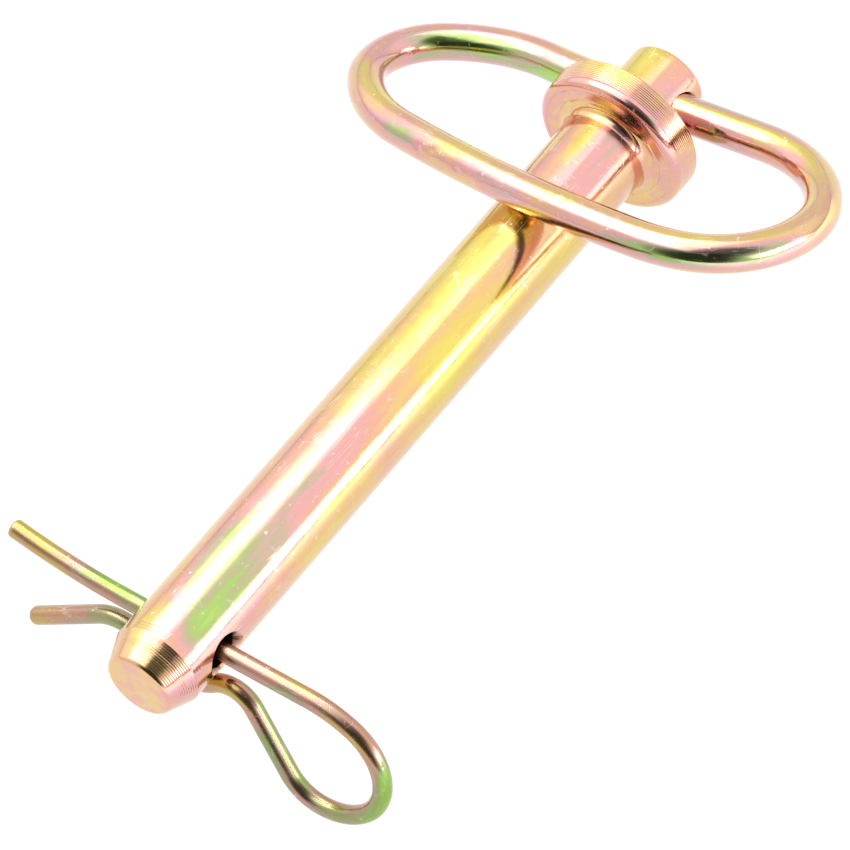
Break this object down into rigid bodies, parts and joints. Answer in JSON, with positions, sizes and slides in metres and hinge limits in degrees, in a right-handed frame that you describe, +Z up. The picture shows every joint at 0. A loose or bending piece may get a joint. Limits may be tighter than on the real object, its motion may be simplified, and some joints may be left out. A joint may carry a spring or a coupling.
{
  "type": "hitch pin with bail handle and hairpin clip",
  "caption": "Steel hitch pin with a round collar and drilled head, an egg-shaped bail handle that swings in the head, and a spring hairpin clip through the tip.",
  "frame": {"origin": "centre of the collar's underside, on the pin's axis, where the pin seats on the part it passes through", "axes": "+X along the pin from the tip to the head, +Y along the clip's cross hole to the clip's straight leg end, +Z up, to the side that the bail handle rests on"},
  "size_m": [0.148, 0.093, 0.0429],
  "materials": {
    "pin_plating": "turned steel with yellow zinc plating, rosy gold to yellow",
    "handle_plating": "smooth bent rod with yellow zinc plating",
    "clip_plating": "spring wire with yellow zinc plating"
  },
  "bodies": {
    "pin": {"pin": "pin_plating"},
    "bail_handle": {"bail_handle": "handle_plating"},
    "hairpin_clip": {"hairpin_clip": "clip_plating"}
  },
  "joints": [
    {"name": "handle_swing", "type": "hinge", "parent": "pin", "child": "bail_handle", "pos_m": [0.012, 0, 0], "axis": [0, 0.9848, -0.1736], "range_deg": [0, 324]},
    {"name": "clip_pull", "type": "slide", "parent": "pin", "child": "hairpin_clip", "axis": [0, -1, 0], "range_m": [0, 0.05], "deforming": ["hairpin_clip"]}
  ]
}
